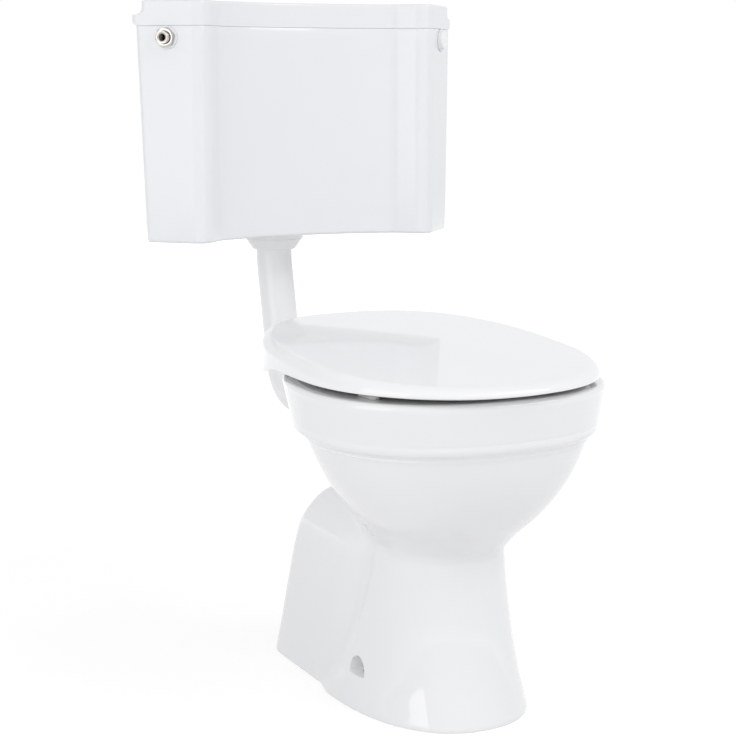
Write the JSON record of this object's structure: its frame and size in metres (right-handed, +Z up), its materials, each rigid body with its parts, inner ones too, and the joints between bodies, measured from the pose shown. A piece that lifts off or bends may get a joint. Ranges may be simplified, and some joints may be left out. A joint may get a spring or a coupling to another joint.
{
  "type": "corner toilet",
  "caption": "Floor-standing washdown toilet with hinged seat and cover, sloping flush pipe, and a low-level cistern shaped to hang in the corner of a room.",
  "frame": {"origin": "on the floor, on the axis of the waste outlet, at the mouth of its socket", "axes": "+Z up, -Y towards the front of the pan, +X to the right seen from the front view along +Y"},
  "size_m": [0.4676, 0.794, 0.845],
  "materials": {
    "glazed_ceramic": "glossy white glaze",
    "seat_plastic": "glossy white",
    "cistern_plastic": "soft gloss white",
    "pipe_plastic": "soft gloss white",
    "white_rubber": "matte pale grey",
    "black_rubber": "matte black",
    "inner_plastic": "satin off-white",
    "float_foam": "satin blue",
    "chrome": "polished",
    "steel": "satin stainless",
    "brass": "satin"
  },
  "bodies": {
    "frame": {"pan": "glazed_ceramic", "hinge_post_left": "seat_plastic", "hinge_post_right": "seat_plastic", "hinge_pins": "steel", "hinge_bolts": "steel", "hinge_washers": "black_rubber", "hinge_nuts": "inner_plastic", "cistern_tank": "cistern_plastic", "inlet_collars": "cistern_plastic", "wall_bushes": "pipe_plastic", "flush_valve_body": "inner_plastic", "lever_pin": "steel", "outlet_gasket": "black_rubber", "outlet_locknut": "pipe_plastic", "pipe_nut": "pipe_plastic", "pipe_seal": "black_rubber", "flush_pipe": "pipe_plastic", "flush_cone": "white_rubber", "inlet_tail": "brass", "inlet_nut": "chrome", "inlet_washer": "black_rubber", "fill_valve": "inner_plastic", "arm_pin": "steel", "blanking_plug": "pipe_plastic"},
    "ring": {"seat_ring": "seat_plastic", "ring_buffers": "white_rubber"},
    "cover": {"seat_cover": "seat_plastic", "cover_buffers": "white_rubber"},
    "lid": {"cistern_lid": "cistern_plastic", "button_bezel": "chrome"},
    "button": {"push_button": "chrome", "push_rod": "inner_plastic"},
    "lever": {"valve_lever": "inner_plastic"},
    "bell": {"valve_bell": "inner_plastic", "valve_seal": "black_rubber"},
    "float": {"float_arm": "inner_plastic", "float": "float_foam"}
  },
  "joints": [
    {"name": "cover_lift", "type": "hinge", "parent": "frame", "child": "cover", "pos_m": [0, 0.064, 0.419], "axis": [-1, 0, 0], "range_deg": [0, 100]},
    {"name": "ring_lift", "type": "hinge", "parent": "frame", "child": "ring", "pos_m": [0, 0.064, 0.419], "axis": [-1, 0, 0], "range_deg": [0, 100]},
    {"name": "lid_lift", "type": "slide", "parent": "frame", "child": "lid", "axis": [0, 0, 1], "range_m": [0, 0.06]},
    {"name": "button_press", "type": "slide", "parent": "lid", "child": "button", "axis": [0, 0, -1], "range_m": [0, 0.008], "stiffness_N_per_m": 150, "springref_m": -0.008},
    {"name": "lever_tilt", "type": "hinge", "parent": "frame", "child": "lever", "pos_m": [-0.02, 0.313, 0.782], "axis": [0, 1, 0], "range_deg": [0, 23.1]},
    {"name": "bell_lift", "type": "slide", "parent": "frame", "child": "bell", "axis": [0, 0, 1], "range_m": [0, 0.0145]},
    {"name": "float_rise", "type": "hinge", "parent": "frame", "child": "float", "pos_m": [-0.16132, 0.22968, 0.775], "axis": [0.7071, -0.7071, 0], "range_deg": [0, 25]}
  ],
  "couplings": [
    {"joint": "ring_lift", "follows": "cover_lift", "ratio": 1},
    {"joint": "lever_tilt", "follows": "button_press", "rad_per_m": 50.339},
    {"joint": "bell_lift", "follows": "button_press", "ratio": 1.8}
  ]
}
